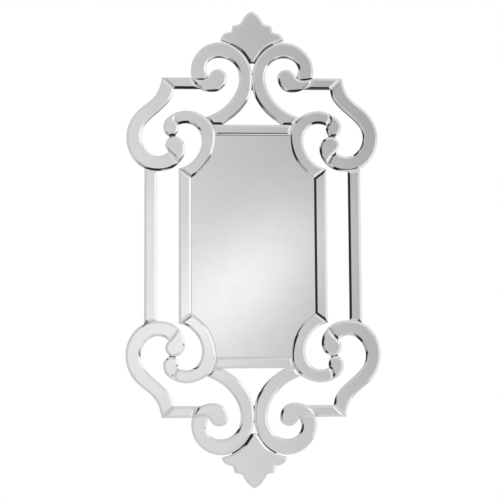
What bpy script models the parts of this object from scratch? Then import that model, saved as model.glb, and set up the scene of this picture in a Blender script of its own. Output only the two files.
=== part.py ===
# Openwork wall mirror: bevelled mirror glass pieces bonded to one cut-out backing board.
# X is to the right, Z is up, the glass faces -Y and the flat back of the board lies on the wall, y = 0.
# The origin is at the middle of the board's back. Lengths are in metres.
import math

import bmesh
import bpy
import numpy as np

MM = 0.001

# Driving sizes
MAIN_WIDTH = 0.3142            # main mirror, edge to edge
MAIN_HEIGHT = 0.5686
BAR_WIDTH = 0.027              # bars above and below the main mirror
INNER_STRIP_WIDTH = 0.032      # strips beside the main mirror
OUTER_STRIP_WIDTH = 0.0321     # long strips at the outer edge
OUTER_STRIP_OFFSET = 0.10335   # from the side of the main mirror to the middle of an outer strip
SHORT_BAR_WIDTH = 0.029        # bars from the corners to the volutes
GLASS_THICKNESS = 0.005
BEVEL_WIDTH = 0.006            # ground edge of the framing glass pieces, seen from the front
BEVEL_DEPTH = 0.0015           # how far the ground edge falls back
MAIN_ARRIS = 0.001             # the main mirror only has its sharp edge taken off
JOINT_GAP = 0.0008             # between neighbouring glass pieces
BOARD_THICKNESS = 0.015
BOARD_INSET = 0.0025           # the board stops this far inside the glass outline
BOND_GAP = 0.0003              # between glass and board
FACET_SAG = 0.0004             # how far a facet may cut inside its curve
MITRE_ANGLE = 36.6             # degrees, joint of an inner strip and its scroll
CORNER_ANGLE = 43.4            # degrees, joint of a short bar and its scroll
NECK = 0.012                   # half the span across which the board closes a narrowing gap

# Hanger plates, let into the back of the board
PLATE_WIDTH = 0.020
PLATE_HEIGHT = 0.060
PLATE_THICKNESS = 0.002
PLATE_INSIDE = 0.0571          # from the side of the main mirror to the middle of a plate
PLATE_DROP = 0.0693            # from the top of the main mirror to the middle of a plate
PLATE_CLEARANCE = 0.0004       # round and behind a plate
KEYHOLE_RADIUS = 0.0048        # where a nail head goes in
KEYHOLE_SLOT_WIDTH = 0.0046
KEYHOLE_SLOT_LENGTH = 0.012
POCKET_DEPTH = 0.008           # room for the nail head behind a plate
POCKET_WIDTH = 0.013
POCKET_HEIGHT = 0.032
SCREW_FROM_END = 0.007         # from the end of a plate to the middle of its screw
SCREW_HEAD_RADIUS = 0.0034
SCREW_SHANK_RADIUS = 0.0015
SCREW_LENGTH = 0.011
SCREW_CLEARANCE = 0.0004

STEP = 0.001                   # spacing of the points that carry a curve before it is faceted
REACH = 0.006                  # how far each curve runs on past its ends, to be cut off by its neighbour
TURN_SIDES = 12                # sides of turned pieces

for old in list(bpy.data.objects):
    bpy.data.objects.remove(old, do_unlink=True)
parts = bpy.data.collections.new("wall_mirror")
cutters = bpy.data.collections.new("cutters")
bpy.context.scene.collection.children.link(parts)
bpy.context.scene.collection.children.link(cutters)


# Materials
def material(name, colour, roughness, metallic):
    made = bpy.data.materials.new(name)
    made.use_nodes = True
    shader = made.node_tree.nodes["Principled BSDF"]
    shader.inputs["Base Color"].default_value = (*colour, 1.0)
    shader.inputs["Roughness"].default_value = roughness
    shader.inputs["Metallic"].default_value = metallic
    return made


mirror_glass = material("mirror_glass", (0.86, 0.88, 0.87), 0.03, 1.0)
black_board = material("black_board", (0.02, 0.018, 0.017), 0.55, 0.0)
zinc_steel = material("zinc_steel", (0.55, 0.56, 0.57), 0.35, 1.0)


# The ornament is drawn once, for the upper right quarter. Points of the volute and finial are
# millimetres from the centre line, points of the corner scrolls are millimetres from the side of
# the main mirror, and both are measured up from its top edge.
def at_centre(*points):
    return [(x * MM, MAIN_HEIGHT / 2 + z * MM) for x, z in points]


def at_corner(*points):
    return [(MAIN_WIDTH / 2 + x * MM, MAIN_HEIGHT / 2 + z * MM) for x, z in points]


# A curve is an array of x, z points. This one is a natural cubic spline through a few points
def smooth(points):
    p = np.array(points, float)
    h = np.hypot(*np.diff(p, axis=0).T)
    t = np.concatenate([[0.0], np.cumsum(h)])
    count = len(p)
    system = np.eye(count)
    right = np.zeros((count, 2))
    for i in range(1, count - 1):
        system[i, i - 1:i + 2] = h[i - 1], 2 * (h[i - 1] + h[i]), h[i]
        right[i] = 6 * ((p[i + 1] - p[i]) / h[i] - (p[i] - p[i - 1]) / h[i - 1])
    bend = np.linalg.solve(system, right)
    u = np.linspace(0.0, t[-1], max(2, int(t[-1] / STEP)))
    i = np.clip(np.searchsorted(t, u, side="right") - 1, 0, count - 2)
    b = ((u - t[i]) / h[i])[:, None]
    a = 1 - b
    bulge = (a ** 3 - a) * bend[i] + (b ** 3 - b) * bend[i + 1]
    return a * p[i] + b * p[i + 1] + bulge * h[i][:, None] ** 2 / 6


def straight(start, end):
    return np.array([start, end], float)


def unit(vectors):
    return vectors / np.linalg.norm(vectors, axis=-1, keepdims=True)


# Runs a curve straight on past both ends
def stretched(curve, reach=REACH):
    first = curve[0] + reach * unit(curve[0] - curve[1])
    last = curve[-1] + reach * unit(curve[-1] - curve[-2])
    return np.vstack([first, curve, last])


# Moves a curve sideways, to the left of its direction
def shifted(curve, distance):
    along = unit(np.diff(curve, axis=0))
    along = np.vstack([along[:1], along, along[-1:]])
    tangent = unit(along[:-1] + along[1:])
    spread = np.einsum("ij,ij->i", tangent, along[1:])[:, None]
    left = np.column_stack([-tangent[:, 1], tangent[:, 0]])
    return curve + left * distance / spread


# Point of a curve at a place given as a point number with a fraction
def point_at(curve, place):
    i = int(min(max(math.floor(place), 0), len(curve) - 2))
    return curve[i] + (place - i) * (curve[i + 1] - curve[i])


# Where curve a, near its end, meets curve b, near its start
def crossing(a, b):
    p, r = a[:-1, None], np.diff(a, axis=0)[:, None]
    q, s = b[None, :-1], np.diff(b, axis=0)[None]
    area = r[..., 0] * s[..., 1] - r[..., 1] * s[..., 0]
    area = np.where(np.abs(area) < 1e-18, 1e-18, area)
    t = ((q - p)[..., 0] * s[..., 1] - (q - p)[..., 1] * s[..., 0]) / area
    u = ((q - p)[..., 0] * r[..., 1] - (q - p)[..., 1] * r[..., 0]) / area
    hits = np.argwhere((t >= 0) & (t <= 1) & (u >= 0) & (u <= 1))
    if len(hits) == 0:
        return len(a) - 2 + t[-1, 0], u[-1, 0]
    length_a = np.cumsum(np.hypot(*np.diff(a, axis=0).T)[::-1])[::-1]
    length_b = np.cumsum(np.hypot(*np.diff(b, axis=0).T))
    i, j = min(hits, key=lambda hit: length_a[hit[0]] + length_b[hit[1]])
    return i + t[i, j], j + u[i, j]


# Start and end of every side, once each is cut off by the next
def cuts(sides):
    pairs = [crossing(side, sides[(k + 1) % len(sides)]) for k, side in enumerate(sides)]
    return [(pairs[k - 1][1], pairs[k][0]) for k in range(len(sides))]


# Places along a curve where its facets end, closer together where it bends more
def facet_places(curve, start, end):
    first, last = max(math.floor(start) + 1, 0), min(math.ceil(end), len(curve)) - 1
    run = np.vstack([point_at(curve, start), curve[first:last + 1], point_at(curve, end)])
    places = np.concatenate([[start], np.arange(first, last + 1), [end]])
    along = np.diff(run, axis=0)
    length = np.hypot(*along.T)
    heading = np.unwrap(np.arctan2(along[:, 1], along[:, 0]))
    if len(heading) < 3:
        return [start, end]
    middle = np.cumsum(length) - length / 2
    bend = np.abs(np.gradient(heading, middle))
    effort = np.concatenate([[0.0], np.cumsum(np.sqrt(bend / (8 * FACET_SAG)) * length)])
    count = max(1, math.ceil(effort[-1]))
    return list(np.interp(np.linspace(0.0, effort[-1], count + 1), effort, places))


# Closed outline of a run of sides, each moved left by the same distance
def outline(sides, distance):
    moved = [shifted(side, distance) for side in sides]
    points = []
    for curve, (start, end) in zip(moved, cuts(moved)):
        points += [point_at(curve, place) for place in facet_places(curve, start, end)[:-1]]
    return points


# Takes a quarter's sides to another quarter, still turning the same way
def mirrored(sides, side_x, side_z):
    turned = [side * (side_x, side_z) for side in sides]
    if side_x * side_z > 0:
        return turned
    return [side[::-1] for side in turned[::-1]]


# The shared lines of the drawing, upper right quarter
main_half = MAIN_WIDTH / 2
main_top = MAIN_HEIGHT / 2
bar_top = main_top + BAR_WIDTH
inner_strip_outside = main_half + INNER_STRIP_WIDTH
(mitre_start,) = at_corner((0, -110.6))
mitre_rise = INNER_STRIP_WIDTH * math.tan(math.radians(MITRE_ANGLE))
mitre_end = (inner_strip_outside, mitre_start[1] + mitre_rise)
(corner_tip,) = at_corner((74.8, 149.7))
corner_run = SHORT_BAR_WIDTH / math.tan(math.radians(CORNER_ANGLE))
corner_inside = (corner_tip[0] - corner_run, corner_tip[1] - SHORT_BAR_WIDTH)
outer_strip_middle = main_half + OUTER_STRIP_OFFSET
outer_strip_inside = outer_strip_middle - OUTER_STRIP_WIDTH / 2
outer_strip_outside = outer_strip_middle + OUTER_STRIP_WIDTH / 2

# Volute: up the stem, round the ring, past the tip and round the comma's head to the crotch
volute_outer = stretched(smooth(
    at_corner((-71, 21), (-90.6, 35))
    + at_centre((48, 47.7), (10.5, 92.7), (4, 107.7), (0.15, 141.7), (0.35, 160.7), (20, 208.5), (66, 240.7),
                (106, 239.2), (152, 197.7), (158, 162.2), (155.3, 146), (139.5, 124.6), (114, 114.4),
                (78, 122.2), (67.5, 160.2), (76, 168.7), (99, 169), (113, 153))))
volute_inner = stretched(smooth(
    at_centre((113.2, 152.7), (117.8, 161.7), (110, 194.2), (68, 201.2), (43, 182.2), (33.4, 149.7),
              (48, 102.2))
    + at_corner((-71, 62.7), (-25, 41.9))))
volute_joint = stretched(smooth(
    at_centre((113.2, 152.7), (118.5, 147), (126, 144.1), (147, 145.8), (156.5, 148))))

# Inner scroll: from the mitre round the corner of the main mirror, over the top, round the head
scroll_outer = stretched(smooth(
    at_corner((0, -110.6), (-19, -96.3), (-46, -64), (-59.5, -24.3), (-59, 16), (-38, 45.6), (-7, 60.7),
              (10.9, 63.5), (41.4, 57), (69.2, 31.2), (63.5, 1.2), (42.2, -1), (32.3, 20), (33.6, 26.6))))
scroll_inner = stretched(smooth(
    at_corner((33.6, 26.6), (23, 29.9), (-1.1, 28.2), (-21.6, 7.7), (-23.1, -37.3), (-4.6, -66.8),
              (9.9, -78.5))
    + [mitre_end]))
scroll_joint = stretched(smooth(at_corner((33.6, 26.6), (39.2, 32.2), (42.7, 48.7), (41.3, 57.4))))

# Outer scroll: from the crotch round the comma, past its tip, round the ring and up to the corner
ring_outer = stretched(smooth(
    at_corner((57.4, -43), (65.6, -30.8), (56.4, -7.3), (28.4, -8.3), (15.2, -35.3), (34, -75.3),
              (50.4, -86.5), (85, -93.3), (123, -84.3), (159.4, -41.3), (164.9, 5.7), (135.9, 63.2),
              (94.4, 99.7), (80.5, 125.7))
    + [corner_tip]))
ring_inner = stretched(smooth(
    at_corner((57.4, -43), (74, -53.3), (95, -53.3), (123.4, -25.3), (123.9, 16.2), (106.4, 39.7),
              (69.9, 72.7), (46.2, 108.2))
    + [corner_inside]))
ring_joint = stretched(smooth(at_corner((57.4, -43), (50.4, -49.3), (33.6, -75))))

# Finial: a pointed crown over two lobes a side, a hollow lower edge that follows the volute, a blunt foot
finial_crown = stretched(smooth(
    at_centre((30.8, 292.2), (27.4, 299.2), (22.9, 305.9), (13.2, 317.2), (0, 325.8))), MM)
finial_lobe_top = stretched(smooth(at_centre((50.5, 286), (43.5, 288.9), (36.5, 289.5), (30.8, 292.2))), MM)
finial_lobe_side = stretched(smooth(at_centre((54.3, 270.5), (51.8, 277.9), (50.5, 286))), MM)
finial_wing = stretched(smooth(at_centre((81.8, 249), (80.3, 255), (70.5, 266), (54.3, 270.5))), MM)
finial_lower = stretched(smooth(
    at_centre((5, 188.8), (11, 196.7), (24, 216.4), (43, 233.3), (60, 242.2), (81.8, 249))), MM)
finial_foot = straight(*at_centre((-5, 188.8), (5, 188.8)))

# Straight lines of the quarter
mitre = stretched(straight(mitre_start, mitre_end))
corner_mitre = stretched(straight(corner_inside, corner_tip))


def level(z, start, end):
    return straight((start, z), (end, z))


def upright(x, start, end):
    return straight((x, start), (x, end))


# The stretch of a curve between the points nearest to two given points
def between(curve, start, end):
    first, last = (int(np.argmin(np.hypot(*(curve - point).T))) for point in (start, end))
    return curve[first:last + 1]


# The long outlines, cut into the stretches that the pieces share
volute_start, volute_end = volute_outer[0], volute_outer[-1]
centre_touch, volute_crest, volute_side, before_tip, past_tip, comma_foot = at_centre(
    (0.15, 143.7), (86, 242.4), (158, 162.2), (157.5, 156), (151, 136), (102, 113.4))
volute_stem = between(volute_outer, volute_start, centre_touch)
volute_shoulder = between(volute_outer, centre_touch, volute_crest)
volute_ring = between(volute_outer, volute_start, past_tip)
volute_cheek = between(volute_outer, centre_touch, comma_foot)
volute_curl = between(volute_outer, before_tip, volute_end)
bar_seat = between(volute_outer, volute_side, comma_foot)
head_start, head_finish = at_corner((30, 61), (52, 51.5))
scroll_arc = between(scroll_outer, scroll_outer[0], head_finish)
scroll_curl = between(scroll_outer, head_start, scroll_outer[-1])
curl_past_tip, ring_before_tip = at_corner((42, -82.3), (27.6, -68))
ring_curl = between(ring_outer, ring_outer[0], curl_past_tip)
ring_arc = between(ring_outer, ring_before_tip, ring_outer[-1])

bar_reach = main_half
short_bar_start = comma_foot[0]
quarter_pieces = {
    "volute": [volute_ring[::-1], level(bar_top, 0, bar_reach), scroll_outer, volute_inner[::-1],
               volute_joint],
    "volute_comma": [volute_curl[::-1], volute_joint[::-1]],
    "inner_scroll": [scroll_arc[::-1], mitre, scroll_inner[::-1], scroll_joint],
    "inner_scroll_head": [scroll_curl[::-1], scroll_joint[::-1]],
    "outer_scroll": [ring_arc, corner_mitre[::-1], ring_inner[::-1], ring_joint],
    "outer_scroll_comma": [ring_curl, ring_joint[::-1]],
    "short_bar": [level(corner_inside[1], short_bar_start, corner_tip[0]), corner_mitre,
                  level(corner_tip[1], corner_tip[0], short_bar_start), bar_seat],
}

half_finial = [finial_lower, finial_wing, finial_lobe_side, finial_lobe_top, finial_crown]
top_finial = [finial_foot] + half_finial + mirrored(half_finial, -1, 1)
top_bar = [level(main_top, -bar_reach, bar_reach), scroll_outer, level(bar_top, bar_reach, -bar_reach),
           *mirrored([scroll_outer], -1, 1)]
right_inner_strip = [*mirrored([mitre[::-1]], 1, -1), upright(inner_strip_outside, -main_top, main_top),
                     mitre[::-1], upright(main_half, main_top, -main_top)]
right_outer_strip = [*mirrored([ring_arc[::-1]], 1, -1), upright(outer_strip_outside, -main_top, main_top),
                     ring_arc[::-1], upright(outer_strip_inside, main_top, -main_top)]
main_mirror = [upright(main_half, -main_top, main_top), scroll_outer, level(main_top, main_half, -main_half),
               *mirrored([scroll_outer], -1, 1), upright(-main_half, main_top, -main_top),
               *mirrored([scroll_outer], -1, -1), level(-main_top, -main_half, main_half),
               *mirrored([scroll_outer], 1, -1)]

glass_front = -(BOARD_THICKNESS + BOND_GAP + GLASS_THICKNESS)
glass_back = glass_front + GLASS_THICKNESS


def finish(name, mesh, look, collection=parts):
    mesh.materials.append(look)
    made = bpy.data.objects.new(name, mesh)
    collection.objects.link(made)
    return made


# A bevelled glass piece. The outline and its own inset are unlike rings, because at sharp tips the
# inset runs out before the outline does, so the ground edge is a loft between the two.
def glass_piece(name, sides, bevel_width=BEVEL_WIDTH, bevel_depth=BEVEL_DEPTH):
    edges = [shifted(side, JOINT_GAP / 2) for side in sides]
    tops = [shifted(side, JOINT_GAP / 2 + bevel_width) for side in sides]
    edge_ring, top_ring = [], []
    for edge, (start, end), top, (top_start, top_end) in zip(edges, cuts(edges), tops, cuts(tops)):
        for count, place in enumerate(facet_places(edge, start, end)[:-1]):
            edge_ring.append(point_at(edge, place))
            inner = top_start if count == 0 else min(max(place, top_start), top_end)
            top_ring.append(point_at(top, inner))
    shape = bmesh.new()
    back = [shape.verts.new((x, glass_back, z)) for x, z in edge_ring]
    edge = [shape.verts.new((x, glass_front + bevel_depth, z)) for x, z in edge_ring]
    top = [shape.verts.new((x, glass_front, z)) for x, z in top_ring]
    shape.faces.new(back[::-1])
    shape.faces.new(top)
    for near, far in ((back, edge), (edge, top)):
        for i in range(len(near)):
            shape.faces.new((near[i - 1], near[i], far[i], far[i - 1]))
    bmesh.ops.remove_doubles(shape, verts=shape.verts, dist=0.00002)
    bmesh.ops.triangulate(shape, faces=[face for face in shape.faces if len(face.verts) > 4])
    mesh = bpy.data.meshes.new(name)
    shape.to_mesh(mesh)
    shape.free()
    return finish(name, mesh, mirror_glass)


for level_name, side_z in (("top", 1), ("bottom", -1)):
    for side_name, side_x in (("left", -1), ("right", 1)):
        for piece, sides in quarter_pieces.items():
            glass_piece(f"{piece}_{level_name}_{side_name}", mirrored(sides, side_x, side_z))
    glass_piece(f"finial_{level_name}", mirrored(top_finial, 1, side_z))
    glass_piece(f"bar_{level_name}", mirrored(top_bar, 1, side_z))
for side_name, side_x in (("left", -1), ("right", 1)):
    glass_piece(f"inner_strip_{side_name}", mirrored(right_inner_strip, side_x, 1))
    glass_piece(f"outer_strip_{side_name}", mirrored(right_outer_strip, side_x, 1))
glass_piece("main_mirror", main_mirror, MAIN_ARRIS, MAIN_ARRIS)

# Where the board closes the narrow ends of the gaps between neighbouring glass pieces
((wedge_x, wedge_z), (_, small_gap_foot), (_, stem_gap_top)) = at_centre((58, 240), (0, 166), (0, 118.5))
((touch_left, touch_z), (touch_right, _)) = at_corner((37.5, -3.5), (58.5, -3.5))
foot_level = finial_foot[0][1]

outer_quarter = [ring_arc, level(corner_tip[1], corner_tip[0], short_bar_start), volute_cheek[::-1],
                 upright(wedge_x, wedge_z - NECK, wedge_z + NECK), *half_finial]
board_outline = [upright(outer_strip_outside, -main_top, main_top), *outer_quarter,
                 *mirrored(outer_quarter, -1, 1), upright(-outer_strip_outside, main_top, -main_top),
                 *mirrored(outer_quarter, -1, -1), *mirrored(outer_quarter, 1, -1)]
corner_hole = [scroll_outer[::-1], volute_inner[::-1], volute_curl[::-1],
               level(corner_inside[1], short_bar_start, corner_tip[0]), ring_inner[::-1], ring_curl,
               upright(touch_right, touch_z - NECK, touch_z + NECK)]
stem_hole = [level(bar_top, bar_reach, -bar_reach), *mirrored([volute_stem[::-1]], -1, 1),
             level(stem_gap_top, -NECK, NECK), volute_stem[::-1]]
foot_hole = [level(foot_level, -3 * NECK, 3 * NECK), volute_shoulder[::-1],
             level(small_gap_foot, NECK, -NECK), *mirrored([volute_shoulder[::-1]], -1, 1)]
slot_quarter = [scroll_inner[::-1], scroll_curl[::-1],
                upright(touch_left, touch_z + NECK, touch_z - NECK), ring_outer]
side_slot = [upright(inner_strip_outside, -main_top, main_top), *slot_quarter,
             upright(outer_strip_inside, main_top, -main_top), *mirrored(slot_quarter, 1, -1)]
board_loops = [board_outline]
board_loops += [mirrored(corner_hole, side_x, side_z) for side_x in (-1, 1) for side_z in (-1, 1)]
board_loops += [mirrored(hole, 1, side_z) for hole in (stem_hole, foot_hole) for side_z in (-1, 1)]
board_loops += [mirrored(side_slot, side_x, 1) for side_x in (-1, 1)]


# A flat plate from closed outlines, as a filled 2D curve made a mesh. It lies between two depths.
def cut_plate(name, loops, back, front, look, collection=parts):
    drawing = bpy.data.curves.new(name, "CURVE")
    drawing.dimensions = "2D"
    drawing.fill_mode = "BOTH"
    drawing.extrude = (back - front) / 2
    for loop in loops:
        spline = drawing.splines.new("POLY")
        spline.points.add(len(loop) - 1)
        spline.points.foreach_set("co", [value for x, z in loop for value in (x, z, 0.0, 1.0)])
        spline.use_cyclic_u = True
    flat = bpy.data.objects.new(name, drawing)
    collection.objects.link(flat)
    flat.location = (0, (back + front) / 2, 0)
    flat.rotation_euler = (math.radians(90), 0, 0)
    bpy.context.view_layer.update()
    mesh = bpy.data.meshes.new_from_object(flat.evaluated_get(bpy.context.evaluated_depsgraph_get()))
    place = flat.matrix_world.copy()
    bpy.data.objects.remove(flat, do_unlink=True)
    bpy.data.curves.remove(drawing)
    shape = bmesh.new()
    shape.from_mesh(mesh)
    bmesh.ops.remove_doubles(shape, verts=shape.verts, dist=0.00002)
    bmesh.ops.recalc_face_normals(shape, faces=shape.faces)
    shape.to_mesh(mesh)
    shape.free()
    mesh.materials.clear()
    made = finish(name, mesh, look, collection)
    made.matrix_world = place
    return made


# A slot with round ends, upright, as a closed outline
def rounded_slot(x, z, width, height):
    radius = width / 2
    turns = [math.pi * i / (TURN_SIDES / 2) for i in range(TURN_SIDES // 2 + 1)]
    upper = [(x + radius * math.cos(a), z + height / 2 - radius + radius * math.sin(a)) for a in turns]
    lower = [(2 * x - px, 2 * z - pz) for px, pz in upper]
    return upper + lower


# A round hole with a slot running up from it
def keyhole(x, z):
    half = math.asin(KEYHOLE_SLOT_WIDTH / 2 / KEYHOLE_RADIUS)
    sweep = [math.pi / 2 + half + (2 * math.pi - 2 * half) * i / TURN_SIDES for i in range(TURN_SIDES + 1)]
    hole = [(x + KEYHOLE_RADIUS * math.cos(a), z + KEYHOLE_RADIUS * math.sin(a)) for a in sweep]
    end = z + KEYHOLE_SLOT_LENGTH
    arch = [math.pi * i / (TURN_SIDES / 2) for i in range(TURN_SIDES // 2 + 1)]
    radius = KEYHOLE_SLOT_WIDTH / 2
    return hole + [(x + radius * math.cos(a), end + radius * math.sin(a)) for a in arch]


def cut_away(target, cutter):
    cutter.hide_render = True
    cutter.display_type = "WIRE"
    cut = target.modifiers.new(cutter.name, "BOOLEAN")
    cut.operation = "DIFFERENCE"
    cut.solver = "EXACT"
    cut.object = cutter


# A turned piece with its axis along +Y, from radius and depth pairs that start on the axis at the back
def turned(name, profile, x, z, look, collection=parts):
    mesh = bpy.data.meshes.new(name)
    points = [(radius, 0.0, depth) for radius, depth in profile]
    mesh.from_pydata(points, [(i, i + 1) for i in range(len(points) - 1)], [])
    made = finish(name, mesh, look, collection)
    made.location = (x, 0, z)
    made.rotation_euler = (math.radians(-90), 0, 0)
    screw = made.modifiers.new("turn", "SCREW")
    screw.steps = TURN_SIDES
    screw.render_steps = TURN_SIDES
    screw.use_merge_vertices = True
    screw.merge_threshold = 0.00001
    return made


board = cut_plate("backing_board", [outline(sides, BOARD_INSET) for sides in board_loops],
                  0, -BOARD_THICKNESS, black_board)


# A countersunk screw through a plate into the board, and the bore that it sits in
def hanger_screw(name, x, z, plate):
    head_depth = SCREW_HEAD_RADIUS - SCREW_SHANK_RADIUS
    point_level = -SCREW_LENGTH + SCREW_SHANK_RADIUS
    turned(f"hanger_screw_{name}",
           [(0, 0), (SCREW_HEAD_RADIUS, 0), (SCREW_SHANK_RADIUS, -head_depth),
            (SCREW_SHANK_RADIUS, point_level), (0, -SCREW_LENGTH)], x, z, zinc_steel)
    bore_radius = SCREW_SHANK_RADIUS + SCREW_CLEARANCE
    bore_mouth = SCREW_HEAD_RADIUS + 2 * SCREW_CLEARANCE
    bore_end = -SCREW_LENGTH - SCREW_CLEARANCE
    bore = turned(f"cut_screw_{name}",
                  [(0, SCREW_CLEARANCE), (bore_mouth, SCREW_CLEARANCE), (bore_radius, -head_depth),
                   (bore_radius, bore_end), (0, bore_end)], x, z, zinc_steel, cutters)
    cut_away(plate, bore)
    cut_away(board, bore)


# A plate flush in the back of the board, with a keyhole, a pocket behind it and two screws
def hanger_plate(name, x, z):
    plate = cut_plate(f"hanger_plate_{name}",
                      [rounded_slot(x, z, PLATE_WIDTH, PLATE_HEIGHT),
                       keyhole(x, z - KEYHOLE_SLOT_LENGTH / 2)[::-1]], 0, -PLATE_THICKNESS, zinc_steel)
    room = 2 * PLATE_CLEARANCE
    recess = cut_plate(f"cut_recess_{name}",
                       [rounded_slot(x, z, PLATE_WIDTH + room, PLATE_HEIGHT + room)],
                       BOARD_THICKNESS, -PLATE_THICKNESS - PLATE_CLEARANCE, zinc_steel, cutters)
    pocket = cut_plate(f"cut_pocket_{name}", [rounded_slot(x, z, POCKET_WIDTH, POCKET_HEIGHT)],
                       BOARD_THICKNESS, -POCKET_DEPTH, zinc_steel, cutters)
    cut_away(board, recess)
    cut_away(board, pocket)
    screw_height = PLATE_HEIGHT / 2 - SCREW_FROM_END
    hanger_screw(f"{name}_upper", x, z + screw_height, plate)
    hanger_screw(f"{name}_lower", x, z - screw_height, plate)


hanger_plate("left", PLATE_INSIDE - main_half, main_top - PLATE_DROP)
hanger_plate("right", main_half - PLATE_INSIDE, main_top - PLATE_DROP)
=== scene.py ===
import math

import bmesh
import bpy
import numpy as np
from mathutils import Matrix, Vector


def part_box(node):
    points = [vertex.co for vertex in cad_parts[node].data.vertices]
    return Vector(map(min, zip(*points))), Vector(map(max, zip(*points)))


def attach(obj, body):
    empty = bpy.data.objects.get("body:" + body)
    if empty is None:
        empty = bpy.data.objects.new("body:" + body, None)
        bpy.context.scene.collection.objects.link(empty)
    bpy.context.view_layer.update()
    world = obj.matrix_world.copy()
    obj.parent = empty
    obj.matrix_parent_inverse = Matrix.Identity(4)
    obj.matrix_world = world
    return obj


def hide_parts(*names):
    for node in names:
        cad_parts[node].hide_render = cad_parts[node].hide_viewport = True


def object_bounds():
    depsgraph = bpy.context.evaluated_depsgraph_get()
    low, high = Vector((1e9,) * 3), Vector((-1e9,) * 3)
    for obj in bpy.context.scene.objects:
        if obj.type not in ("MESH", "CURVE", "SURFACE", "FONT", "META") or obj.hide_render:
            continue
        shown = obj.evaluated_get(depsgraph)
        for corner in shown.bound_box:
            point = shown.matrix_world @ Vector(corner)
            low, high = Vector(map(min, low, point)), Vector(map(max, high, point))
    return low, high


# Looks of an openwork wall mirror: bevelled mirror glass bonded to one cut-out black board.
# X is right, Z is up, the glass faces -Y and the back of the board lies on the wall, y = 0.
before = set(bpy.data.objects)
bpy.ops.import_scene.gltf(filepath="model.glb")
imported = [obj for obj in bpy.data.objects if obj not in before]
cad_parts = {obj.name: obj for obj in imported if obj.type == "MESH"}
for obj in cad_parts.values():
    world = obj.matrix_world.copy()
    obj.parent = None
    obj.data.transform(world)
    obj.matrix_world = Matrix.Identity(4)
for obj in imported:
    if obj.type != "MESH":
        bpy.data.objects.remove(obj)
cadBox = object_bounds()
bpy.ops.object.select_all(action="DESELECT")
print("frame loaded:", len(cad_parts), "nodes")


# Camera, at the photograph's place
cameraSettings = {
    "place": (-0.1704, -3.0536, -0.2987),
    "turn": (95.394, 0.328, -3.029),       # degrees
    "lens": 86.4,                          # millimetres, on a 36 mm sensor
}


def addCamera(settings):
    turn = [math.radians(angle) for angle in settings["turn"]]
    bpy.ops.object.camera_add(location=settings["place"], rotation=turn)
    camera = bpy.context.object
    camera.name = "photoCamera"
    camera.data.lens = settings["lens"]
    camera.data.sensor_width = 36
    bpy.context.scene.camera = camera


# Shader helpers. An input may be a plain number, a colour or another node's socket
def setInput(tree, socket, value):
    if isinstance(value, bpy.types.NodeSocket):
        tree.links.new(value, socket)
    else:
        socket.default_value = value


def addMath(tree, operation, first, second=0.0, clamp=False):
    node = tree.nodes.new("ShaderNodeMath")
    node.operation = operation
    node.use_clamp = clamp
    setInput(tree, node.inputs[0], first)
    setInput(tree, node.inputs[1], second)
    return node.outputs[0]


# Several stops, each a place from 0 to 1 and a grey level or colour
def addRamp(tree, factor, stops):
    node = tree.nodes.new("ShaderNodeValToRGB")
    node.color_ramp.interpolation = "EASE"
    elements = node.color_ramp.elements
    while len(elements) < len(stops):
        elements.new(0.5)
    for element, (place, shade) in zip(elements, sorted(stops)):
        element.position = place
        element.color = (shade, shade, shade, 1.0) if isinstance(shade, float) else (*shade, 1.0)
    setInput(tree, node.inputs[0], factor)
    return node.outputs[0]


# The studio that the mirrors see. Directions are slopes to the right and up of straight ahead,
# so the flat glass faces see a narrow window of it and each ground edge a patch to one side.
studioSettings = {
    "level": 0.775,                         # light straight ahead
    "fallRight": -1.46,                     # change for each unit of slope to the right
    "fallUp": -0.45,
    "glows": [                              # soft lamps: light, middle, size, tilt in degrees
        (0.346, (0.0494, 0.0692), (0.062, 0.0311), 39.3),
        (0.1, (-0.04, 0.115), (0.022, 0.032), 0),
    ],
    "window": ((0.055, 0.1), (0.15, 0.235), 0.05, 0),   # what the flat faces see, as a panel
    # stops of level by slope to the right, and what is added by slope up
    "sideWalls": [(-0.6, 0.68), (-0.45, 0.66), (-0.28, 0.63), (0.0, 0.69), (0.3, 0.78), (0.5, 0.8),
                  (0.62, 0.76), (0.75, 0.7)],
    "heights": [(-0.5, 0.1), (-0.42, 0.08), (-0.37, 0.0), (0.35, 0.0), (0.45, 0.0), (0.58, 0.05),
                (0.7, 0.04), (0.8, 0.0)],
    # what stands to the sides, above and below: middle, half width and height, softness of the
    # rim, tilt in degrees, light
    "panels": [
        ((0.58, -0.15), (0.24, 0.36), 0.1, 0, 0.9),             # pale wall
        ((0.47, 0.14), (0.1, 0.22), 0.05, 0, 1.08),             # lit curtain
        ((-0.352, 0.065), (0.043, 0.175), 0.012, 0, 0.03),      # dark doorway and its frame
        ((-0.275, -0.079), (0.125, 0.021), 0.014, -51, 0.04),
        ((-0.3, 0.36), (0.13, 0.022), 0.014, 67, 0.04),
        ((-0.18, 0.58), (0.11, 0.04), 0.02, 34, 0.02),          # beam
        ((-0.29, -0.178), (0.09, 0.08), 0.06, 0, 0.42),         # shade beside the doorway
        ((-0.26, -0.27), (0.19, 0.032), 0.02, -67, 0.42),
        ((-0.115, -0.33), (0.135, 0.075), 0.025, 0, 0.03),      # skirting
        ((0.05, -0.41), (0.09, 0.045), 0.015, 0, 0.02),
        ((0.12, -0.252), (0.2, 0.047), 0.018, 5, 0.02),
        ((0.4, -0.09), (0.13, 0.033), 0.015, 45, 0.3),          # stair rail
        ((0.06, 1.65), (0.45, 0.4), 0.05, 0, 0.02),             # dark ceiling
    ],
    "behind": 0.6,                          # light from behind the mirror
    "frontLimit": -0.02,                    # directions past this Y count as behind
    "leastForward": 0.05,                   # keeps the slopes of sideways directions finite
    "backdrop": 1.0,                        # white seen past the mirror
}


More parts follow.
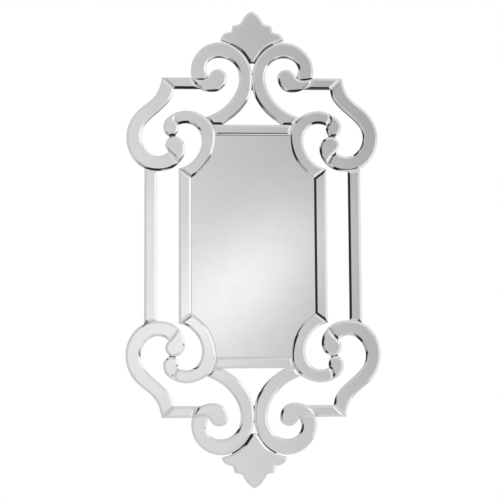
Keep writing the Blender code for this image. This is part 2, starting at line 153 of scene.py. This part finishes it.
def addMix(tree, factor, first, second):
    node = tree.nodes.new("ShaderNodeMix")
    node.data_type = "FLOAT"
    for socket, value in zip(node.inputs[:4], (factor, None, first, second)):
        if value is not None:
            setInput(tree, socket, value)
    return node.outputs[0]


# Offsets from a middle, turned by an angle in degrees
def addTurned(tree, right, up, middle, tilt):
    cosine, sine = math.cos(math.radians(tilt)), math.sin(math.radians(tilt))
    x = addMath(tree, "SUBTRACT", right, middle[0])
    z = addMath(tree, "SUBTRACT", up, middle[1])
    along = addMath(tree, "ADD", addMath(tree, "MULTIPLY", x, cosine),
                    addMath(tree, "MULTIPLY", z, sine))
    across = addMath(tree, "SUBTRACT", addMath(tree, "MULTIPLY", z, cosine),
                     addMath(tree, "MULTIPLY", x, sine))
    return along, across


# 1 inside a soft edged rectangle of directions, 0 outside
def addPatch(tree, right, up, middle, halves, soft, tilt):
    masks = []
    for offset, half in zip(addTurned(tree, right, up, middle, tilt), halves):
        node = tree.nodes.new("ShaderNodeMapRange")
        node.interpolation_type = "SMOOTHSTEP"
        setInput(tree, node.inputs["Value"], addMath(tree, "ABSOLUTE", offset))
        node.inputs["From Min"].default_value = half - soft
        node.inputs["From Max"].default_value = half + soft
        node.inputs["To Min"].default_value = 1.0
        node.inputs["To Max"].default_value = 0.0
        masks.append(node.outputs[0])
    return addMath(tree, "MULTIPLY", *masks)


# Grey level by slope. Each stop is a slope from -1 to 1 and its level
def addSpread(tree, slope, stops):
    place = addMath(tree, "ADD", addMath(tree, "MULTIPLY", slope, 0.5), 0.5, clamp=True)
    return addRamp(tree, place, [(0.5 + 0.5 * at, shade) for at, shade in stops])


def addStudio(settings):
    world = bpy.data.worlds.new("studioRoom")
    world.use_nodes = True
    bpy.context.scene.world = world
    tree = world.node_tree
    direction = tree.nodes.new("ShaderNodeTexCoord").outputs["Generated"]
    parted = tree.nodes.new("ShaderNodeSeparateXYZ")
    tree.links.new(direction, parted.inputs[0])
    forward = addMath(tree, "MULTIPLY", parted.outputs["Y"], -1.0)
    forward = addMath(tree, "MAXIMUM", forward, settings["leastForward"])
    right = addMath(tree, "DIVIDE", parted.outputs["X"], forward)
    up = addMath(tree, "DIVIDE", parted.outputs["Z"], forward)

    # What the flat faces see: an even fall of light to the right and up, and soft oval glows
    fall = addMath(tree, "MULTIPLY", right, settings["fallRight"])
    rise = addMath(tree, "MULTIPLY", up, settings["fallUp"])
    ahead = addMath(tree, "ADD", addMath(tree, "ADD", fall, rise), settings["level"])
    for strength, middle, sizes, tilt in settings["glows"]:
        far = []
        for offset, size in zip(addTurned(tree, right, up, middle, tilt), sizes):
            share = addMath(tree, "DIVIDE", offset, size)
            far.append(addMath(tree, "MULTIPLY", share, share))
        glow = addMath(tree, "EXPONENT", addMath(tree, "MULTIPLY", addMath(tree, "ADD", *far), -0.5))
        ahead = addMath(tree, "ADD", ahead, addMath(tree, "MULTIPLY", glow, strength))

    # What the ground edges see to the sides, above and below
    around = addMath(tree, "ADD", addSpread(tree, right, settings["sideWalls"]),
                     addSpread(tree, up, settings["heights"]))
    for *panel, strength in settings["panels"]:
        around = addMix(tree, addPatch(tree, right, up, *panel), around, strength)
    light = addMix(tree, addPatch(tree, right, up, *settings["window"]), around, ahead)

    # Even light from behind, and a white backdrop for the camera
    front = addMath(tree, "LESS_THAN", parted.outputs["Y"], settings["frontLimit"])
    light = addMix(tree, front, settings["behind"], light)
    seen = tree.nodes.new("ShaderNodeLightPath").outputs["Is Camera Ray"]
    light = addMix(tree, seen, light, settings["backdrop"])
    tree.links.new(light, tree.nodes["Background"].inputs["Color"])
    bpy.context.scene.view_settings.view_transform = "Standard"


# Soft key light above the camera and the pale floor
lightSettings = {
    "place": (-0.6, -2.2, 2.3),
    "aim": (0.0, 0.0, 0.1),
    "size": (2.5, 1.5),
    "power": 25.0,                          # watts
}
floorSettings = {
    "level": -1.25,
    "middle": (0.0, -0.25),
    "size": (5.0, 4.5),
    "colour": (0.92, 0.92, 0.91),
    "roughness": 0.7,
}


def addKeyLight(settings):
    bpy.ops.object.light_add(type="AREA", location=settings["place"])
    lamp = bpy.context.object
    lamp.name = "softKey"
    lamp.data.shape = "RECTANGLE"
    lamp.data.size, lamp.data.size_y = settings["size"]
    lamp.data.energy = settings["power"]
    lamp.visible_glossy = False             # the mirrors see only the room
    away = [place - aim for place, aim in zip(settings["place"], settings["aim"])]
    lamp.rotation_euler = (math.atan2(math.hypot(away[0], away[1]), away[2]), 0,
                           math.atan2(away[0], -away[1]))


def addFloor(settings):
    bpy.ops.mesh.primitive_plane_add(size=1, location=(*settings["middle"], settings["level"]))
    floor = bpy.context.object
    floor.name = "paleFloor"
    floor.scale = (*settings["size"], 1)
    bpy.ops.object.transform_apply(location=True, rotation=False, scale=True)
    look = bpy.data.materials.new("paleFloor")
    look.use_nodes = True
    shader = look.node_tree.nodes["Principled BSDF"]
    shader.inputs["Base Color"].default_value = (*settings["colour"], 1)
    shader.inputs["Roughness"].default_value = settings["roughness"]
    floor.data.materials.append(look)


addCamera(cameraSettings)
addStudio(studioSettings)
addKeyLight(lightSettings)
addFloor(floorSettings)
print("camera, studio and floor made")


# Materials
def newMaterial(name):
    look = bpy.data.materials.new(name)
    look.use_nodes = True
    tree = look.node_tree
    place = tree.nodes.new("ShaderNodeTexCoord").outputs["Object"]
    return look, tree, tree.nodes["Principled BSDF"], place


def addNoise(tree, place, size, detail=2.0, distortion=0.0):
    node = tree.nodes.new("ShaderNodeTexNoise")
    tree.links.new(place, node.inputs["Vector"])
    node.inputs["Scale"].default_value = 1 / size
    node.inputs["Detail"].default_value = detail
    node.inputs["Distortion"].default_value = distortion
    return node.outputs["Fac"]


def addBump(tree, shader, height, distance, strength=1.0):
    node = tree.nodes.new("ShaderNodeBump")
    node.inputs["Strength"].default_value = strength
    node.inputs["Distance"].default_value = distance
    tree.links.new(height, node.inputs["Height"])
    tree.links.new(node.outputs["Normal"], shader.inputs["Normal"])


# Base colour and roughness, each a ramp of one grain
def colourAndRough(tree, shader, colourGrain, roughGrain, settings):
    tree.links.new(addRamp(tree, colourGrain, settings["colours"]), shader.inputs["Base Color"])
    tree.links.new(addRamp(tree, roughGrain, settings["roughness"]), shader.inputs["Roughness"])


# In each material a stop is a place in the grain from 0 to 1 and its value, and sizes are metres
mirrorSettings = {
    "colours": [(0.35, (0.876, 0.879, 0.868)), (0.75, (0.853, 0.857, 0.846))],   # clean, hazed
    "roughness": [(0.4, 0.012), (0.8, 0.05)],
    "smudge": (0.035, 4.0, 0.6),            # size, detail and distortion
    "wave": 0.16,                           # between the faint waves of the sheet
    "waveHeight": 0.00002,
}


def makeMirror(settings):
    look, tree, shader, place = newMaterial("mirrorFace")
    smudge = addNoise(tree, place, *settings["smudge"])
    colourAndRough(tree, shader, smudge, smudge, settings)
    shader.inputs["Metallic"].default_value = 1.0
    addBump(tree, shader, addNoise(tree, place, settings["wave"], 0.0), settings["waveHeight"])
    return look


edgeSettings = {
    "colours": [(0.3, (0.015, 0.03, 0.026)), (0.7, (0.05, 0.085, 0.075))],
    "roughness": [(0.3, 0.16), (0.7, 0.34)],
    "cloud": (0.012, 3.0),                  # size and detail
    "grind": (0.0006, 2.0),                 # grinding marks
    "bump": (0.00003, 0.5),                 # height and strength
    "refraction": 1.52,
}


def makeCutEdge(settings):
    look, tree, shader, place = newMaterial("cutEdge")
    cloud = addNoise(tree, place, *settings["cloud"])
    grind = addNoise(tree, place, *settings["grind"])
    colourAndRough(tree, shader, cloud, grind, settings)
    shader.inputs["IOR"].default_value = settings["refraction"]
    addBump(tree, shader, grind, *settings["bump"])
    return look


boardSettings = {
    "colours": [(0.42, (0.016, 0.0135, 0.012)), (0.66, (0.034, 0.027, 0.021))],   # paint, worn paint
    "roughness": [(0.35, 0.42), (0.7, 0.68)],
    "blotch": (0.06, 5.0, 0.4),             # size, detail and distortion
    "fibre": (0.0011, 6.0, 0.8),
    "blotchShare": 0.65,
    "fibreShare": 0.35,
    "bump": (0.00012, 0.6),
    "edge": 0.0008,                         # rounding of the routed edges
    "edgeSteps": 2,
    "stepTurn": 5.0,                        # degrees of turn between the points of the outline
    "creaseAngle": 25.0,
}


# Two grains added, each by its share
def addBlend(tree, first, firstShare, second, secondShare):
    return addMath(tree, "ADD", addMath(tree, "MULTIPLY", first, firstShare),
                   addMath(tree, "MULTIPLY", second, secondShare))


def makeBlackBoard(settings):
    look, tree, shader, place = newMaterial("blackBoard")
    blotch = addNoise(tree, place, *settings["blotch"])
    fibre = addNoise(tree, place, *settings["fibre"])
    wear = addBlend(tree, blotch, settings["blotchShare"], fibre, settings["fibreShare"])
    colourAndRough(tree, shader, wear, wear, settings)
    addBump(tree, shader, fibre, *settings["bump"])
    return look


steelSettings = {
    "colours": [(0.3, (0.62, 0.63, 0.64)), (0.75, (0.40, 0.41, 0.43))],           # bright, dull
    "roughness": [(0.3, 0.26), (0.75, 0.46)],
    "spangle": 0.004,
    "grain": (0.0007, 4.0),                 # size and detail
    "spangleShare": 0.5,
    "grainShare": 0.6,
    "bump": (0.00004, 0.5),
}


def makeZincSteel(settings):
    look, tree, shader, place = newMaterial("zincSteel")
    spangle = tree.nodes.new("ShaderNodeTexVoronoi")
    spangle.inputs["Scale"].default_value = 1 / settings["spangle"]
    tree.links.new(place, spangle.inputs["Vector"])
    grain = addNoise(tree, place, *settings["grain"])
    mixed = addBlend(tree, spangle.outputs["Distance"], settings["spangleShare"], grain,
                     settings["grainShare"])
    colourAndRough(tree, shader, mixed, mixed, settings)
    shader.inputs["Metallic"].default_value = 1.0
    addBump(tree, shader, grain, *settings["bump"])
    return look


mirrorFace = makeMirror(mirrorSettings)
cutEdge = makeCutEdge(edgeSettings)
blackBoard = makeBlackBoard(boardSettings)
zincSteel = makeZincSteel(steelSettings)
print("materials made")


# Outlines. A ring is an array of x, z points that turns left, seen from the front
ringSettings = {
    "merge": 0.00001,                       # points nearer than this are one
    "corner": 0.005,                        # metres times radians of turn at a true corner
    "sample": 0.0003,                       # spacing of the points that carry a curve
    "stepTurn": 3.0,                        # degrees of turn between the new points
    "longest": 0.03,                        # spacing of the new points on a straight
    "even": 0.0021,                         # reach of the evening out along a curve
    "leastSpread": 0.4,                     # keeps the inset of a very sharp corner short
}


# Closed edges of a CAD node's flat face at one depth
def flatRings(name, depth):
    shape = bmesh.new()
    shape.from_mesh(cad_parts[name].data)
    bmesh.ops.remove_doubles(shape, verts=shape.verts, dist=ringSettings["merge"])
    uses = {}
    for face in shape.faces:
        if all(abs(corner.co.y - depth) < ringSettings["merge"] for corner in face.verts):
            for edge in face.edges:
                uses[edge] = uses.get(edge, 0) + 1
    beside = {}
    for edge, count in uses.items():
        if count == 1:
            for corner in edge.verts:
                beside.setdefault(corner, []).append(edge.other_vert(corner))
    rings = []
    while beside:
        first = min(beside, key=lambda corner: (round(corner.co.x, 5), round(corner.co.z, 5)))
        ring, here = [first], beside.pop(first)[0]
        while here in beside:
            ring.append(here)
            here = next((corner for corner in beside.pop(here) if corner in beside), first)
        points = np.array([(corner.co.x, corner.co.z) for corner in ring])
        rings.append(points if enclosed(points) > 0 else points[::-1])
    shape.free()
    return sorted(rings, key=enclosed, reverse=True)


def enclosed(ring):
    x, z = ring.T
    return 0.5 * float(np.sum(x * np.roll(z, -1) - np.roll(x, -1) * z))


# Cuts a ring at its corners into sides, each from corner to corner
def sidesOf(ring):
    ahead = np.roll(ring, -1, axis=0) - ring
    length = np.hypot(*ahead.T)
    heading = np.arctan2(ahead[:, 1], ahead[:, 0])
    turn = (heading - np.roll(heading, 1) + math.pi) % (2 * math.pi) - math.pi
    sharp = np.abs(turn) * (length + np.roll(length, 1)) / 2
    corners = list(np.flatnonzero(sharp > ringSettings["corner"]))
    sides = []
    for start, end in zip(corners, corners[1:] + [corners[0] + len(ring)]):
        sides.append(ring[np.arange(start, end + 1) % len(ring)])
    return sides


# Takes the ripple out of a finely sampled curve and keeps its ends
def evened(curve):
    spread = ringSettings["even"] / ringSettings["sample"]
    reach = min(int(3 * spread), len(curve) - 2)
    weights = np.exp(-0.5 * (np.arange(-reach, reach + 1) / spread) ** 2)
    before = 2 * curve[0] - curve[reach:0:-1]
    after = 2 * curve[-1] - curve[-2:-reach - 2:-1]
    longer = np.vstack([before, curve, after])
    weights /= weights.sum()
    return np.column_stack([np.convolve(column, weights, mode="valid") for column in longer.T])


# Smooth curve through a side's points, with a new point wherever it has turned a few degrees
def smoothSide(side, stepTurn):
    if len(side) == 2:
        return side
    h = np.hypot(*np.diff(side, axis=0).T)
    t = np.concatenate([[0.0], np.cumsum(h)])
    count = len(side)
    slope = np.diff(side, axis=0) / h[:, None]
    system = np.eye(count)
    right = np.zeros((count, 2))
    for i in range(1, count - 1):
        system[i, i - 1:i + 2] = h[i - 1], 2 * (h[i - 1] + h[i]), h[i]
        right[i] = 6 * (slope[i] - slope[i - 1])
    bend = np.linalg.solve(system, right)
    u = np.linspace(0.0, t[-1], max(4, int(t[-1] / ringSettings["sample"])))
    i = np.clip(np.searchsorted(t, u, side="right") - 1, 0, count - 2)
    b = ((u - t[i]) / h[i])[:, None]
    a = 1 - b
    bulge = (a ** 3 - a) * bend[i] + (b ** 3 - b) * bend[i + 1]
    curve = evened(a * side[i] + b * side[i + 1] + bulge * h[i][:, None] ** 2 / 6)
    along = np.diff(curve, axis=0)
    heading = np.unwrap(np.arctan2(along[:, 1], along[:, 0]))
    turned = np.concatenate([[0.0], np.abs(np.diff(heading)), [0.0]])
    effort = turned[:-1] / math.radians(stepTurn) + np.hypot(*along.T) / ringSettings["longest"]
    effort = np.concatenate([[0.0], np.cumsum(effort)])
    places = np.linspace(0.0, effort[-1], max(2, math.ceil(effort[-1]) + 1))
    return np.column_stack([np.interp(places, effort, column) for column in curve.T])


def unit(vectors):
    return vectors / np.linalg.norm(vectors, axis=-1, keepdims=True)


# Moves an open curve to its left and runs it straight on past both ends
def shifted(curve, distance):
    along = unit(np.diff(curve, axis=0))
    along = np.vstack([along[:1], along, along[-1:]])
    tangent = unit(along[:-1] + along[1:])
    spread = np.einsum("ij,ij->i", tangent, along[1:])[:, None]
    moved = curve + np.column_stack([-tangent[:, 1], tangent[:, 0]]) * distance / spread
    reach = 2 * distance
    return np.vstack([moved[0] - reach * along[0], moved, moved[-1] + reach * along[-1]])


# Where the last half of curve a meets the first half of curve b, as point numbers with fractions
def meeting(a, b):
    skip = len(a) // 2 - 1 if len(a) > 4 else 0
    keep = (len(b) + 1) // 2 + 1 if len(b) > 4 else len(b)
    p, r = a[skip:-1, None], np.diff(a, axis=0)[skip:, None]
    q, s = b[None, :keep - 1], np.diff(b, axis=0)[None, :keep - 1]
    area = r[..., 0] * s[..., 1] - r[..., 1] * s[..., 0]
    area = np.where(np.abs(area) < 1e-18, 1e-18, area)
    t = ((q - p)[..., 0] * s[..., 1] - (q - p)[..., 1] * s[..., 0]) / area
    w = ((q - p)[..., 0] * r[..., 1] - (q - p)[..., 1] * r[..., 0]) / area
    hits = np.argwhere((t >= 0) & (t <= 1) & (w >= 0) & (w <= 1))
    if len(hits) == 0:
        print("no meeting of two sides")
        return len(a) - 2.0, 1.0
    i, j = min(hits, key=lambda hit: hit[1] - hit[0])
    return skip + i + t[i, j], j + w[i, j]


def pointAt(curve, place):
    i = int(min(max(math.floor(place), 0), len(curve) - 2))
    return curve[i] + (place - i) * (curve[i + 1] - curve[i])


# A ring and its inset, point by point. At sharp corners the inset runs out first
def ringAndInset(ring, distance, stepTurn):
    sides = [smoothSide(side, stepTurn) for side in sidesOf(ring)]
    insides = [shifted(side, distance) for side in sides]
    meetings = [meeting(inside, insides[(k + 1) % len(insides)]) for k, inside in enumerate(insides)]
    outer, inner = [], []
    for k, (side, inside) in enumerate(zip(sides, insides)):
        start, end = meetings[k - 1][1], meetings[k][0]
        for i in range(len(side) - 1):
            outer.append(side[i])
            place = start if i == 0 else min(max(i + 1.0, start), end)
            inner.append(pointAt(inside, place))
    return np.array(outer), np.array(inner)


# Glass pieces
glassSettings = {
    "bevel": 0.006,                         # width of the ground edge
    "bevelDepth": 0.0014,
    "bars": ("bar", "short_bar"),
    "barDepth": 0.0015,                     # the bars are ground a little steeper
    "bevelSteps": 6,                        # strips of a rounded bevel
    "swell": 0.07,                          # share of rounding of the bevels that are ground by hand
    "flatBevels": ("inner_strip", "outer_strip", "main_mirror"),
    "mainArris": (0.0013, 0.00054),         # width and depth, as only its sharp edge is taken off
    "arris": 0.0002,                        # rounding of the outer and back edges
    "closer": 0.0003,                       # the smooth outlines close the joints a little
    "creaseAngle": 5.0,                     # degrees
}


def newPiece(name, shape, looks):
    mesh = bpy.data.meshes.new(name)
    shape.to_mesh(mesh)
    shape.free()
    piece = bpy.data.objects.new(name, mesh)
    bpy.context.scene.collection.objects.link(piece)
    for look in looks:
        mesh.materials.append(look)
    return piece


def shadeByAngle(piece, angle):
    bpy.ops.object.select_all(action="DESELECT")
    piece.select_set(True)
    bpy.context.view_layer.objects.active = piece
    bpy.ops.object.shade_smooth_by_angle(angle=math.radians(angle))
    piece.select_set(False)


# A sheet from back to front: its cut side with small arrises, the ground edge, then the flat face.
# Each level is a share of the way from the outline to the inset, and a depth.
def makeGlass(node, settings):
    low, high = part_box(node)
    bevel, depth = settings["bevel"], settings["bevelDepth"]
    if node.startswith(settings["bars"]):
        depth = settings["barDepth"]
    if node == "main_mirror":
        bevel, depth = settings["mainArris"]
    outer, inner = ringAndInset(flatRings(node, high.y)[0], bevel, ringSettings["stepTurn"])
    closer = (inner - outer) * settings["closer"] / bevel
    corners = [(corner[0], corner[2]) for corner in cadBox]
    outer, inner = np.clip(outer - closer, *corners), inner - closer
    arris = settings["arris"]
    swell = 0 if node.startswith(settings["flatBevels"]) else settings["swell"]
    steps = settings["bevelSteps"] if swell else 1
    levels = [(arris / bevel, high.y), (0, high.y - arris), (0, low.y + depth + arris)]
    for share in [arris / bevel] + [step / steps for step in range(1, steps + 1)]:
        fall = (1 - share) * (1 - swell * share)
        levels.append((share, low.y + depth * fall))
    shape = bmesh.new()
    rings = []
    for part, y in levels:
        flat = outer + part * (inner - outer)
        rings.append([shape.verts.new((x, y, z)) for x, z in flat])
    shape.faces.new(rings[0][::-1]).material_index = 1
    shape.faces.new(rings[-1]).material_index = 0
    for k, (near, far) in enumerate(zip(rings, rings[1:])):
        silvered = k >= 2                   # the first two strips are the cut side of the sheet
        for i in range(len(near)):
            face = shape.faces.new((near[i - 1], near[i], far[i], far[i - 1]))
            face.material_index = 0 if silvered else 1
    bmesh.ops.remove_doubles(shape, verts=shape.verts, dist=ringSettings["merge"])
    piece = newPiece("glass_" + node, shape, [mirrorFace, cutEdge])
    shadeByAngle(piece, settings["creaseAngle"])
    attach(piece, "root")
    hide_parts(node)


glassNodes = [name for name in sorted(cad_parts)
              if name != "backing_board" and not name.startswith("hanger")]
for node in glassNodes:
    makeGlass(node, glassSettings)
print("glass pieces made:", len(glassNodes))


# A closed ring moved to its left, where the material is
def insetRing(ring, distance):
    ahead = unit(np.roll(ring, -1, axis=0) - ring)
    behind = np.roll(ahead, 1, axis=0)
    tangent = unit(ahead + behind)
    spread = np.maximum(np.einsum("ij,ij->i", tangent, ahead), ringSettings["leastSpread"])[:, None]
    return ring + np.column_stack([-tangent[:, 1], tangent[:, 0]]) * distance / spread


# A flat plate with rounded edges. The first ring is its outline, the others are openings
def flatPlate(name, rings, back, front, edge, steps, looks):
    turns = [0.5 * math.pi * step / steps for step in range(steps + 1)]
    profile = [(edge * (1 - math.sin(turn)), back - edge * (1 - math.cos(turn))) for turn in turns]
    profile += [(edge * (1 - math.cos(turn)), front + edge * (1 - math.sin(turn))) for turn in turns]
    shape = bmesh.new()
    caps = {0: [], len(profile) - 1: []}
    for ring in rings:
        loops = []
        for level, (distance, y) in enumerate(profile):
            loop = [shape.verts.new((x, y, z)) for x, z in insetRing(ring, distance)]
            loops.append(loop)
            if level in caps:
                caps[level] += [shape.edges.new((loop[i - 1], loop[i])) for i in range(len(loop))]
        for near, far in zip(loops, loops[1:]):
            for i in range(len(near)):
                shape.faces.new((near[i - 1], near[i], far[i], far[i - 1]))
    for level, edges in caps.items():
        bmesh.ops.triangle_fill(shape, use_beauty=True, edges=edges,
                                normal=(0, 1 if level == 0 else -1, 0))
    bmesh.ops.recalc_face_normals(shape, faces=shape.faces)
    return newPiece(name, shape, looks)


def slotRing(x, z, width, height, sides=24):
    turns = np.pi * np.arange(sides + 1) / sides
    radius = width / 2
    upper = np.column_stack([radius * np.cos(turns), height / 2 - radius + radius * np.sin(turns)])
    return np.vstack([upper, -upper]) + (x, z)


# Cuts one piece out of another and throws the cutter away
def cutOut(piece, cutter):
    bpy.ops.object.select_all(action="DESELECT")
    bpy.context.view_layer.objects.active = piece
    piece.select_set(True)
    cut = piece.modifiers.new("cut", "BOOLEAN")
    cut.operation = "DIFFERENCE"
    cut.solver = "EXACT"
    cut.object = cutter
    bpy.ops.object.modifier_apply(modifier=cut.name)
    bpy.data.objects.remove(cutter, do_unlink=True)
    piece.select_set(False)


# A turned piece along Y at x, z, from radius and depth pairs that start and end on the axis
def turnedPiece(name, profile, x, z, sides, looks):
    shape = bmesh.new()
    loops = []
    for radius, depth in profile:
        if radius == 0:
            loops.append([shape.verts.new((x, depth, z))] * sides)
            continue
        turns = [2 * math.pi * side / sides for side in range(sides)]
        loops.append([shape.verts.new((x + radius * math.cos(turn), depth, z + radius * math.sin(turn)))
                      for turn in turns])
    for near, far in zip(loops, loops[1:]):
        for i in range(sides):
            corners = dict.fromkeys((near[i - 1], near[i], far[i], far[i - 1]))
            shape.faces.new(list(corners))
    bmesh.ops.recalc_face_normals(shape, faces=shape.faces)
    return newPiece(name, shape, looks)


hangerSettings = {
    "plateEdge": 0.0002,
    "edgeSteps": 2,
    "creaseAngle": 30,                      # degrees
    "keyRadius": 0.0048,
    "keySlot": (0.0046, 0.012),             # width and length above the round hole
    "keyPoints": (33, 13),                  # round the hole and over the end of the slot
    "room": 0.0004,                         # round and behind a plate
    "pocket": (0.013, 0.032, 0.008),        # width, height and depth behind a keyhole
    "cutterBack": 0.01,                     # how far the cutters stand out behind the board
    "cutterEdge": 0.0001,
    "roundSides": 32,                       # of screws and bores
    "screwHead": 0.0034,                    # radii
    "screwShank": 0.0015,
    "screwRim": 0.00015,                    # rounding of the rim of a head
    "threadDepth": 0.00035,
    "threadPitch": 0.0011,
    "threadRoot": 0.4,                      # share of the pitch from crest to root
    "cross": (0.0042, 0.0008, 0.0014),      # length, width and depth of the cross recess
    "crossTaper": 0.55,                     # its size at the bottom, as a share of the mouth
    "crossTurns": {"left_upper": 12, "left_lower": 55, "right_upper": 33, "right_lower": 78},
}


def screwPlace(name):
    low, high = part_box("hanger_screw_" + name)
    return (low.x + high.x) / 2, (low.z + high.z) / 2, low.y


# Countersunk bore for a screw. The room is added all round
def boreCutter(x, z, end, room, settings):
    head, shank = settings["screwHead"] + 2 * room, settings["screwShank"] + room
    profile = [(0, room), (head, room), (shank, room + shank - head), (shank, end - room),
               (0, end - room)]
    return turnedPiece("bore", profile, x, z, settings["roundSides"], [])


def slotCutter(name, x, z, width, height, front, settings):
    return flatPlate(name, [slotRing(x, z, width, height)], settings["cutterBack"], front,
                     settings["cutterEdge"], 1, [blackBoard])


def makeBoard(settings, hanger):
    low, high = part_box("backing_board")
    rings = []
    for ring in flatRings("backing_board", low.y):
        sides = [smoothSide(side, settings["stepTurn"])[:-1] for side in sidesOf(ring)]
        rings.append(np.vstack(sides) if not rings else np.vstack(sides)[::-1])
    board = flatPlate("blackBackingBoard", rings, high.y, low.y, settings["edge"],
                      settings["edgeSteps"], [blackBoard])
    room = hanger["room"]
    for side in ("left", "right"):
        corner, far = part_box("hanger_plate_" + side)
        x, z = (corner.x + far.x) / 2, (corner.z + far.z) / 2
        cutOut(board, slotCutter("recess", x, z, far.x - corner.x + 2 * room,
                                 far.z - corner.z + 2 * room, corner.y - room, hanger))
        width, height, depth = hanger["pocket"]
        cutOut(board, slotCutter("pocket", x, z, width, height, -depth, hanger))
        for level in ("upper", "lower"):
            x, z, end = screwPlace(f"{side}_{level}")
            cutOut(board, boreCutter(x, z, end, room, hanger))
    shadeByAngle(board, settings["creaseAngle"])
    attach(board, "root")
    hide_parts("backing_board")


def makeHangerPlate(side, settings):
    low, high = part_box("hanger_plate_" + side)
    x, z = (low.x + high.x) / 2, (low.z + high.z) / 2
    width, length = settings["keySlot"]
    radius = settings["keyRadius"]
    half = math.asin(width / 2 / radius)
    holePoints, archPoints = settings["keyPoints"]
    around = np.linspace(0.5 * math.pi + half, 2.5 * math.pi - half, holePoints)
    arch = np.linspace(0, math.pi, archPoints)
    key = [(radius * math.cos(turn), radius * math.sin(turn)) for turn in around]
    key += [(width / 2 * math.cos(turn), length + width / 2 * math.sin(turn)) for turn in arch]
    key = np.array(key) + (x, z - length / 2)
    outside = slotRing(x, z, high.x - low.x, high.z - low.z)
    plate = flatPlate(f"zincPlate_{side}", [outside, key[::-1]], high.y, low.y, settings["plateEdge"],
                      settings["edgeSteps"], [zincSteel])
    for level in ("upper", "lower"):
        x, z, end = screwPlace(f"{side}_{level}")
        cutOut(plate, boreCutter(x, z, end, settings["room"] / 2, settings))
    shadeByAngle(plate, settings["creaseAngle"])
    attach(plate, "root")
    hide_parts("hanger_plate_" + side)


# One bar of the cross recess, narrower at its bottom
def crossBar(x, z, turn, settings):
    length, width, deep = settings["cross"]
    bpy.ops.mesh.primitive_cube_add(size=1, location=(x, 0, z))
    bar = bpy.context.object
    bar.scale = (length, 2 * deep, width)
    bar.rotation_euler = (0, math.radians(turn), 0)
    bpy.ops.object.transform_apply(location=True, rotation=True, scale=True)
    for corner in bar.data.vertices:
        if corner.co.y < 0:
            corner.co.x = x + settings["crossTaper"] * (corner.co.x - x)
            corner.co.z = z + settings["crossTaper"] * (corner.co.z - z)
    return bar


def makeScrew(name, settings):
    x, z, end = screwPlace(name)
    head, shank, rim = settings["screwHead"], settings["screwShank"], settings["screwRim"]
    root, pitch = shank - settings["threadDepth"], settings["threadPitch"]
    profile = [(0, 0), (head - rim, 0), (head, -rim), (shank, shank - head - rim)]
    depth = shank - head - 2 * rim
    while depth - pitch > end + shank:
        profile += [(root, depth - settings["threadRoot"] * pitch), (shank, depth - pitch)]
        depth -= pitch
    profile += [(root, end + shank), (0, end)]
    screw = turnedPiece(f"zincScrew_{name}", profile, x, z, settings["roundSides"], [zincSteel])
    for quarter in (0, 90):
        cutOut(screw, crossBar(x, z, settings["crossTurns"][name] + quarter, settings))
    shadeByAngle(screw, settings["creaseAngle"])
    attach(screw, "root")
    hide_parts("hanger_screw_" + name)


makeBoard(boardSettings, hangerSettings)
print("backing board made")
for side in ("left", "right"):
    makeHangerPlate(side, hangerSettings)
    for level in ("upper", "lower"):
        makeScrew(f"{side}_{level}", hangerSettings)
print("hanger plates and screws made")
